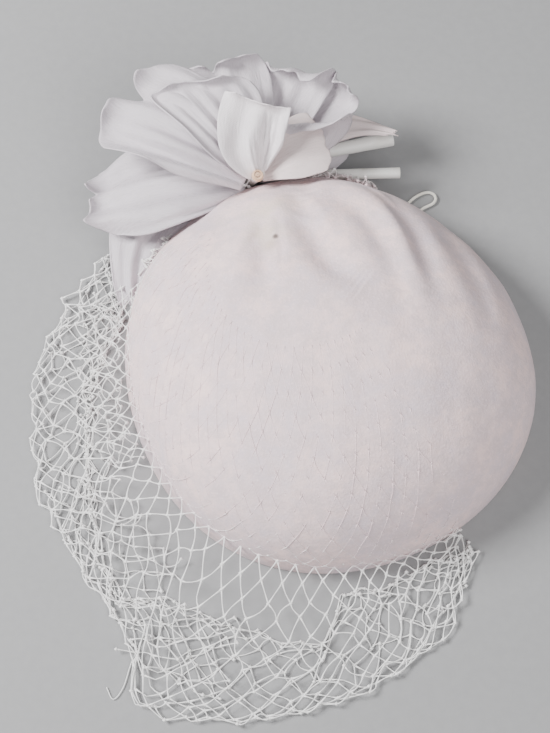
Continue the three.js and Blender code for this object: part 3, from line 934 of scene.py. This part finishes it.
class FASCINATOR_OT_elastic(bpy.types.Operator):
    """Lay the loop of round elastic beside the cap"""

    bl_idname = "fascinator.elastic"
    bl_label = "Elastic Loop"

    def execute(self, context):
        choice = settings().trim
        route = [(x, y, ELASTIC_HEIGHT) for x, y in ELASTIC_ROUTE]
        line = to_frame(smooth_through(route, ELASTIC_POINTS))
        curve = bpy.data.curves.new("elastic_cord", "CURVE")
        curve.dimensions = "3D"
        curve.bevel_depth = choice.elastic / 2
        curve.bevel_resolution = 4
        curve.use_fill_caps = True
        spline = curve.splines.new("POLY")
        spline.points.add(len(line) - 1)
        for point, place in zip(spline.points, line):
            point.co = (*place, 1)
        cord = bpy.data.objects.new("elastic_cord", curve)
        context.scene.collection.objects.link(cord)
        material = thread_finish("elastic", tuple(choice.elastic_colour), ELASTIC_SHADE)
        finish_piece(cord, material, "elastic_loop")
        return {"FINISHED"}


class FASCINATOR_OT_cap(bpy.types.Operator):
    """Make the cap's velvet cover and its lining"""

    bl_idname = "fascinator.cap"
    bl_label = "Velvet Cap"

    def shell(self, outer_inset, inner_inset, around, rings, fine):
        """A wall of the cap with its edge turned round in a half circle, from its insets."""
        azimuth = np.arange(around) / around * 2 * math.pi
        lift = np.linspace(0, 1, rings + 1)[:-1]
        angles, lifts = np.meshgrid(azimuth, lift)
        outer = cap_point(angles, lifts, outer_inset, fine=fine)
        inner = cap_point(angles, lifts, inner_inset, fine=fine)
        turned = []
        middle_inset = (outer_inset + inner_inset) / 2
        half = (inner_inset - outer_inset) / 2
        for turn in np.linspace(0, math.pi, TURNED_STEPS)[-2:0:-1]:
            radius = rim_radius(azimuth) - middle_inset + half * math.cos(turn)
            height = np.full(around, TURNED_EDGE - TURNED_EDGE * math.sin(turn))
            turned.append(np.stack([radius * np.cos(azimuth), radius * np.sin(azimuth), height], -1))
        outer = np.concatenate([turned, outer])
        top = cap_point(np.zeros(1), np.ones(1), outer_inset, fine=fine)[0]
        under = cap_point(np.zeros(1), np.ones(1), inner_inset, fine=fine)[0]
        return closed_shell(outer, top, inner, under)

    def execute(self, context):
        choice = settings().cap
        cover = choice.cover / MM
        points, faces = self.shell(0, cover, around=288, rings=96, fine=True)
        velvet = add_piece("crown_velvet", points, faces)
        finish_piece(velvet, velvet_finish(tuple(choice.velvet)), "crown")
        points, faces = self.shell(cover + LINING_GAP, CAP_WALL, around=144, rings=40, fine=False)
        lining = add_piece("crown_lining", points, faces)
        finish_piece(lining, lining_finish(tuple(choice.lining)), "crown")
        return {"FINISHED"}


def veil_point(across, row):
    """Points of the veil. across runs from its left end (0) to its right end (1), row from the
    gather over the cap, out to the fold and back underneath."""
    degrees = np.interp(across, *zip(*GATHERING))
    azimuth = np.radians(degrees)
    table = np.array(SKIRT, dtype=float).T
    past_rim, lift, turned = (np.interp(degrees, table[0], column) for column in table[1:])
    leaving = cap_point(azimuth, lift_at_height(lift), fine=False)
    way = FIRST_ROW + (1 - FIRST_ROW) * np.clip(row / CAP_ROWS, 0, 1)
    share = np.sin(way * math.pi / 2)
    x = GATHER_POINT[0] + (leaving[..., 0] - GATHER_POINT[0]) * share
    y = GATHER_POINT[1] + (leaving[..., 1] - GATHER_POINT[1]) * share
    on_cap = over_cap(x, y, -NET_SINK)
    top_radius = np.hypot(leaving[..., 0], leaving[..., 1])
    reach = rim_radius(azimuth) + past_rim - top_radius
    closeness = np.clip(EVEN_REACH / reach, 1, CLOSEST_ROWS)
    out = np.clip((row - CAP_ROWS) / OPEN_ROWS, 0, 1) ** closeness
    radius = top_radius + reach * (1 - (1 - out) ** NET_SPREAD)
    height = FOLD_HEIGHT + (leaving[..., 2] - FOLD_HEIGHT) * (1 - out) ** NET_SAG
    back = np.clip((row - CAP_ROWS - OPEN_ROWS) / TURNED_ROWS, 0, 1)
    inwards = 1 - (1 - back**2) ** np.interp(degrees, *zip(*TURN_GATHERING))
    radius = radius - turned * inwards
    height = np.where(back > 0, NET_GROUND + (height - NET_GROUND) * (1 - back) ** 3, height)
    around_cap = np.stack([radius * np.cos(azimuth), radius * np.sin(azimuth), height], -1)
    return np.where((row <= CAP_ROWS)[..., None], on_cap, around_cap)


def veil_looseness(across, row):
    """How far the veil's knots stray: little where they lie on the cap, most at its edge."""
    free = np.clip((row - CAP_ROWS - 0.5) / 3, 0, 1)
    at_edge = np.clip((row - NET_ROWS + 6) / 6, 0, 1)
    in_plan = 0.15 + 1.2 * free
    return np.stack([in_plan, in_plan, 0.02 + 0.3 * free + 0.8 * at_edge], -1)


def veil_fineness(row):
    """Share of the thread's thickness that shows: half of it where it lies in the velvet."""
    return 0.5 + 0.5 * np.clip((row - CAP_ROWS + 2) / 2, 0, 1)


def bunch_point(bunch, across, row):
    """Points of bunched net. across runs from its outer edge (0) to its inner edge (1), row
    along it from its first azimuth."""
    azimuth = np.radians(bunch.first + (bunch.last - bunch.first) * row / bunch.meshes_along)
    height = bunch.low + (bunch.high - bunch.low) * across + np.sin(row)
    side = cap_point(azimuth, lift_at_height(np.maximum(height, 2)), fine=False)
    beside_cap = np.hypot(side[..., 0], side[..., 1]) + 1 + np.sin(1.7 * row) ** 2
    radius = rim_radius(azimuth) + bunch.reach + (bunch.inner_reach - bunch.reach) * across
    radius = np.maximum(radius, beside_cap)
    return np.stack([radius * np.cos(azimuth), radius * np.sin(azimuth), height], -1)


def bunch_looseness(across, row):
    return np.full((len(row), 3), BUNCH_STRAY)


class FASCINATOR_OT_net(bpy.types.Operator):
    """Knot the veil's net over the cap and round it"""

    bl_idname = "fascinator.net"
    bl_label = "Veil"

    def knotted(self, columns, rows, place, looseness, fineness, rng):
        """Threads and knots of a net. place gives the points of across and row, looseness how
        far each knot may stray, and fineness the share of the full thickness that a row has."""
        choice = settings().net
        radius, knot = choice.thread / 2 / MM, choice.knot / 2 / MM
        spots = [
            (i + (row % 2) / 2, row) for row in range(rows + 1)
            for i in range(columns + 1 - row % 2)
        ]
        grid = {spot: index for index, spot in enumerate(spots)}
        across = np.array([i / columns for i, _ in spots])
        row = np.array([float(r) for _, r in spots])
        stray = rng.normal(0, 1, (len(spots), 3)) * looseness(across, row)
        pairs = [
            (grid[spot], grid[(spot[0] + side, spot[1] + 1)])
            for spot in spots for side in (-0.5, 0.5)
            if (spot[0] + side, spot[1] + 1) in grid
        ]
        first, second = np.array(pairs).T
        share = np.linspace(0, 1, len(THREAD_PROFILE))[None, :]
        rest = 1 - share
        lines = place(
            across[first][:, None] * rest + across[second][:, None] * share,
            row[first][:, None] * rest + row[second][:, None] * share,
        )
        share, rest = share[..., None], rest[..., None]
        drift = stray[first][:, None] * rest + stray[second][:, None] * share
        sway = rng.normal(0, THREAD_SWAY, (len(pairs), 1, 3)) * np.sin(math.pi * share)
        freedom = looseness(across[first], row[first])[:, None]
        lines = lines + drift + sway * np.clip(freedom, 0, 0.6)
        profile = radius * np.array(THREAD_PROFILE) * fineness(row[first])[:, None]
        lines[..., 2] = np.maximum(lines[..., 2], profile)
        centres = place(across, row) + stray
        centres[:, 2] = np.maximum(centres[:, 2], knot * KNOT_CLEARANCE)
        sizes = rng.uniform(*KNOT_SIZES, len(spots)) * knot * fineness(row)
        return together(threads(lines, profile), knots(centres, sizes))

    def execute(self, context):
        choice = settings().net
        rng = np.random.default_rng(7)
        nets = [
            self.knotted(NET_COLUMNS, NET_ROWS, veil_point, veil_looseness, veil_fineness, rng)
        ]
        for bunch in BUNCHES:
            columns, rows = bunch.meshes_over, bunch.meshes_along
            place = partial(bunch_point, bunch)
            nets.append(self.knotted(columns, rows, place, bunch_looseness, np.ones_like, rng))
        radius = choice.thread / 2 / MM
        cut_end = smooth_through([(x, y, 2 * radius) for x, y in CUT_END], CUT_END_POINTS)
        nets.append(threads([cut_end], radius))
        piece = add_piece("veil_net", *together(*nets))
        material = net_finish(tuple(choice.colour), tuple(settings().cap.velvet))
        finish_piece(piece, material, "veil")
        return {"FINISHED"}


def rolled(distance, start, length, degrees):
    """How far along and how far up points of a cloth lie when it rolls up past start."""
    turn = np.radians(degrees)
    rolls = np.abs(turn) > 0.02
    radius = length / np.where(rolls, turn, 1)
    angle = np.clip(distance - start, 0, None) / radius
    past = (distance > start) & rolls
    along = np.where(past, start + radius * np.sin(angle), distance)
    return along, np.where(past, radius * (1 - np.cos(angle)), 0.0)


# On a petal, u runs from its foot (0) to its outer edge (1), and v across it from -1 to 1.


def pressed_ridges(u, v, rng, count=10):
    """Fine ridges and grooves that run along a petal, mostly between -1 and 1."""
    total = np.zeros(np.broadcast(u, v).shape)
    for _ in range(count):
        where, width = rng.uniform(-0.9, 0.9), rng.uniform(0.025, 0.07)
        bend, reach = rng.uniform(-0.12, 0.12), rng.uniform(0.5, 0.95)
        fade = np.sin(math.pi * np.clip(u / reach, 0, 1)) ** 0.8
        total += rng.choice([-1.0, 1.0]) * fade * np.exp(-(((v - where - bend * u) / width) ** 2))
    return total


def crumples(u, v, rng, count=7):
    """Soft hollows and swellings of a worn petal, mostly between -1 and 1."""
    total = np.zeros(np.broadcast(u, v).shape)
    for _ in range(count):
        along, over = rng.uniform(-9, 9), rng.uniform(3, 9)
        total += np.sin(along * u + over * v + rng.uniform(0, 2 * math.pi))
    return total / math.sqrt(count)


def middle_line(petal):
    """The length of a petal from its foot to its tip, and a function that gives the points of
    its arched middle line at shares of that length."""
    share = (petal.seat - CALYX_FOOT[2]) / (CALYX_HEAD[2] - CALYX_FOOT[2])
    seat = CALYX_FOOT + (CALYX_HEAD - CALYX_FOOT) * share
    outwards = (np.array(petal.tip) - seat) * (1, 1, 0)
    foot = seat + outwards / np.linalg.norm(outwards) * petal.clearance
    way = np.array(petal.tip) - foot
    length = np.linalg.norm(way)
    right = np.cross(way, (0, 0, 1))
    right /= np.linalg.norm(right)
    up = np.cross(right, way / length)

    def point(share):
        share = share[..., None]
        arch = 4 * share * (1 - share) * np.exp(-5 * np.clip(share - 1, 0, None))
        return foot + way * share + (right * petal.bow + up * petal.rise) * arch

    return length, point


def petal_outline(petal, u, v, seed):
    """The share of a petal's length at which its points lie, and half its width there."""
    rounded = 1 - (1 - np.abs(v) ** 2.6) ** (1 / 2.6)
    notched = np.exp(-(((v - petal.notch_at) / 0.14) ** 2))
    uneven = 0.012 * np.sin(8 * v + seed) + 0.007 * np.sin(19 * v + 2 * seed)
    share = u * (1 - petal.corner * rounded - petal.notch * notched + uneven * u**2)
    widened = np.sin(np.clip(share / petal.shoulder, 0, 1) * math.pi / 2)
    narrowed = eased((share - petal.shoulder) / (1.001 - petal.shoulder))
    full = petal.claw + (petal.width - petal.claw) * widened
    half = (full + (petal.end_width - petal.width) * narrowed) / 2
    return share, half * (1 + 0.03 * np.sin(11 * share + seed) * share)


def petal_relief(petal, u, v, share, opened, seed):
    """How far the pleats, ridges, crumples and edge waves of a petal stand up."""
    rng = np.random.default_rng(seed)
    pleats = petal.pleat * np.cos(math.pi * petal.pleats * v) * np.sin(math.pi * share**0.8)
    ridges = petal.pleat * 0.7 * pressed_ridges(u, v, rng)
    crumpled = (0.15 + 0.3 * petal.pleat) * crumples(u, v, rng) * opened
    edge = np.maximum(np.abs(v) ** 5 * opened, share**4)
    waves = np.sin(6.6 * v + 5 * share + seed) + 0.35 * np.sin(11 * v + 9 * share)
    return pleats + ridges + crumpled + petal.wave * edge * waves


def petal_cloth(petal, seed, rows=60, columns=52):
    """Middle points of a petal's cloth, each point's place on the flat cloth, and the cloth's
    flat width, length and area."""
    length, line_point = middle_line(petal)
    u = np.linspace(0, 1, rows)[:, None]
    v = np.linspace(-1, 1, columns)[None, :]
    share, half = petal_outline(petal, u, v, seed)

    opened = eased((share - petal.roll_from) / 0.45)
    inner, rolling = (1 - petal.rolled_side) * half, petal.rolled_side * half
    left, left_up = rolled(-v * half, inner, rolling, petal.roll_left * opened)
    right, right_up = rolled(v * half, inner, rolling, petal.roll_right * opened)
    across = np.where(v > 0, right, -left)
    curl = petal.curl * (1 + 0.12 * np.sin(5 * v + seed)) * (1 - 0.8 * v**4)
    curled = petal.curled * length
    along, curl_up = rolled(share * length, length - curled, curled, curl)
    along = along + across * math.tan(math.radians(petal.slant)) * eased(share)
    height = np.where(v > 0, right_up, left_up) + curl_up + petal.cup * v**2 * eased(1.3 * share)
    height = height + across * math.sin(math.radians(petal.lean)) * eased(1.4 * share)
    height = height + petal_relief(petal, u, v, share, opened, seed)

    reach = along / length
    forwards = line_point(reach + 0.01) - line_point(reach - 0.01)
    forwards /= np.linalg.norm(forwards, axis=-1, keepdims=True)
    sideways = np.cross(forwards, (0, 0, 1))
    sideways /= np.linalg.norm(sideways, axis=-1, keepdims=True)
    upwards = np.cross(sideways, forwards)
    points = line_point(reach) + sideways * across[..., None] + upwards * height[..., None]

    line = line_point(np.linspace(0, 1, 50))
    flat_length = np.linalg.norm(np.diff(line, axis=0), axis=1).sum()
    layout = np.stack([v * half, share * flat_length], -1) / 10
    slices = np.diff(share, axis=0) * flat_length * (half[1:] + half[:-1]) / 2
    area = slices.mean(axis=1).sum() * 2
    return points, layout, (2 * half.max(), flat_length, area)


class FASCINATOR_OT_petals(bpy.types.Operator):
    """Press and curl the flower's satin petals"""

    bl_idname = "fascinator.petals"
    bl_label = "Petals"

    def execute(self, context):
        choice = settings().flower
        finishes = {
            "satin": satin_finish("satin", tuple(choice.satin), 0.3),
            # A painted highlight: a lighter copy of the satin for the front petal.
            "bright": satin_finish("satin_painted_highlight", tuple(choice.bright), 0.28),
            # The matt dull side, painted lighter than the satin to make up for shade.
            "dull_painted_lighter": satin_finish("satin_dull_side_painted_lighter", tuple(choice.dull_painted_lighter), 0.6),
        }
        for seed, (name, petal) in enumerate(PETALS.items()):
            points, layout, (width, length, area) = petal_cloth(petal, seed)
            points, faces = walled(points, choice.cloth / MM)
            layout = np.tile(layout.reshape(-1, 2), (2, 1))
            piece = add_piece(f"{name}_satin", points, faces, layout)
            finish_piece(piece, finishes[petal.side], name)
            width * MM
            length * MM
            area * MM**2
        return {"FINISHED"}


def flower_bar(name, start, end, radius, sides):
    """A round bar, with its two ends as points of the frame."""
    start, end = Vector(to_frame(start)), Vector(to_frame(end))
    way = end - start
    deselect()
    bpy.ops.mesh.primitive_cylinder_add(
        vertices=sides, radius=radius * MM, depth=way.length, end_fill_type="NGON",
        location=(start + end) / 2, rotation=way.to_track_quat("Z", "Y").to_euler(),
    )
    bar = bpy.context.object
    bar.name = name
    apply_place()
    return bar, start, end


def edit_all():
    """Starts edit mode on the active object with all of it selected."""
    bpy.ops.object.mode_set(mode="EDIT")
    bpy.ops.mesh.select_all(action="SELECT")


def edit_end(bar, way):
    """Starts edit mode with only those faces selected that face this way."""
    bpy.ops.object.mode_set(mode="EDIT")
    bpy.ops.mesh.select_mode(type="FACE")
    bpy.ops.mesh.select_all(action="DESELECT")
    bpy.ops.object.mode_set(mode="OBJECT")
    for face in bar.data.polygons:
        face.select = face.normal.dot(way) > 0.9
    bpy.ops.object.mode_set(mode="EDIT")


class FASCINATOR_OT_stems(bpy.types.Operator):
    """Wrap the flower's cut stems"""

    bl_idname = "fascinator.stems"
    bl_label = "Stems"

    def execute(self, context):
        material = stem_finish(tuple(settings().trim.stem_colour))
        for name, stem in STEMS.items():
            bar, foot, tip = flower_bar(
                f"{name}_wrap", stem.start, stem.end, stem.radius, STEM_SIDES
            )
            way = (tip - foot).normalized()
            edit_end(bar, way)
            flare = stem.end_radius / stem.radius
            bpy.ops.transform.resize(value=(flare, flare, flare), center_override=tip)
            bpy.ops.mesh.inset(thickness=STEM_WALL * MM)
            hollow = {"value": -STEM_HOLLOW * MM * way}
            bpy.ops.mesh.extrude_region_move(TRANSFORM_OT_translate=hollow)
            bpy.ops.object.mode_set(mode="OBJECT")
            bevel = bar.modifiers.new("softened", "BEVEL")
            bevel.width, bevel.segments = STEM_SOFTENING * MM, 2
            bevel.angle_limit = math.radians(50)
            bpy.ops.object.modifier_apply(modifier=bevel.name)
            bpy.ops.object.shade_smooth_by_angle(angle=math.radians(40))
            finish_piece(bar, material, name)
        return {"FINISHED"}


class FASCINATOR_OT_calyx(bpy.types.Operator):
    """Shape the calyx that carries the petals"""

    bl_idname = "fascinator.calyx"
    bl_label = "Calyx"

    def execute(self, context):
        bar, _, _ = flower_bar("calyx_base", CALYX_FOOT, CALYX_HEAD, CALYX_RADIUS, CALYX_SIDES)
        edit_all()
        bpy.ops.mesh.bevel(offset=CALYX_SOFTENING * MM, segments=2)
        bpy.ops.mesh.subdivide(number_cuts=2)
        bpy.ops.object.mode_set(mode="OBJECT")
        bpy.ops.object.shade_smooth_by_angle(angle=math.radians(60))
        cloth = thread_finish("petal_base", CALYX_CLOTH, CALYX_SHADE)
        finish_piece(bar, cloth, "calyx")
        return {"FINISHED"}


class FASCINATOR_OT_binding(bpy.types.Operator):
    """Wind the binding thread round the head of the calyx"""

    bl_idname = "fascinator.binding"
    bl_label = "Binding Thread"

    def execute(self, context):
        foot, head = Vector(to_frame(CALYX_FOOT)), Vector(to_frame(CALYX_HEAD))
        up = (head - foot).normalized()
        middle = head + Vector(WINDING_OFFSET) * MM
        rings = []
        for index, winding in enumerate(WINDINGS):
            deselect()
            bpy.ops.mesh.primitive_torus_add(
                location=middle + up * winding.rise * MM,
                rotation=up.to_track_quat("Z", "Y").to_euler(),
                major_radius=winding.radius * MM, minor_radius=BINDING_THREAD_RADIUS * MM,
                major_segments=32, minor_segments=8,
            )
            rings.append(context.object)
            apply_place()
            edit_all()
            tilt = WINDING_TILT * (-1) ** index
            bpy.ops.transform.rotate(value=tilt, orient_axis="X", center_override=head)
            bpy.ops.object.mode_set(mode="OBJECT")
        deselect()
        for ring in rings:
            ring.select_set(True)
        context.view_layer.objects.active = rings[0]
        bpy.ops.object.join()
        thread = context.object
        thread.name = "binding_thread"
        bpy.ops.object.shade_smooth()
        colour = tuple(settings().trim.thread_colour)
        material = thread_finish("binding_thread", colour, tinted(colour, 0.7))
        finish_piece(thread, material, "binding")
        return {"FINISHED"}


class FASCINATOR_PT_panel(bpy.types.Panel):
    """Lists the fascinator's settings and the operators that make it"""

    bl_idname = "FASCINATOR_PT_panel"
    bl_label = "Fascinator"
    bl_space_type = "VIEW_3D"
    bl_region_type = "UI"
    bl_category = "Fascinator"

    def draw(self, context):
        layout = self.layout
        choices = context.scene.fascinator
        for name in ("cap", "net", "flower", "trim", "stage"):
            box = layout.box()
            box.label(text=name.title())
            group = getattr(choices, name)
            for field in group.__annotations__:
                box.prop(group, field)
        for operator in STEPS:
            layout.operator(operator.bl_idname)


STEPS = (
    FASCINATOR_OT_stage,
    FASCINATOR_OT_elastic,
    FASCINATOR_OT_cap,
    FASCINATOR_OT_net,
    FASCINATOR_OT_petals,
    FASCINATOR_OT_stems,
    FASCINATOR_OT_calyx,
    FASCINATOR_OT_binding,
)
GROUPS = (
    CapSettings,
    NetSettings,
    FlowerSettings,
    TrimSettings,
    StageSettings,
    FascinatorSettings,
)


def register():
    for part in (*GROUPS, *STEPS, FASCINATOR_PT_panel):
        bpy.utils.register_class(part)
    bpy.types.Scene.fascinator = bpy.props.PointerProperty(type=FascinatorSettings)


def unregister():
    del bpy.types.Scene.fascinator
    for part in reversed((*GROUPS, *STEPS, FASCINATOR_PT_panel)):
        bpy.utils.unregister_class(part)


def main():
    register()
    for operator in STEPS:
        group, name = operator.bl_idname.split(".")
        getattr(getattr(bpy.ops, group), name)()


if __name__ == "__main__":
    main()
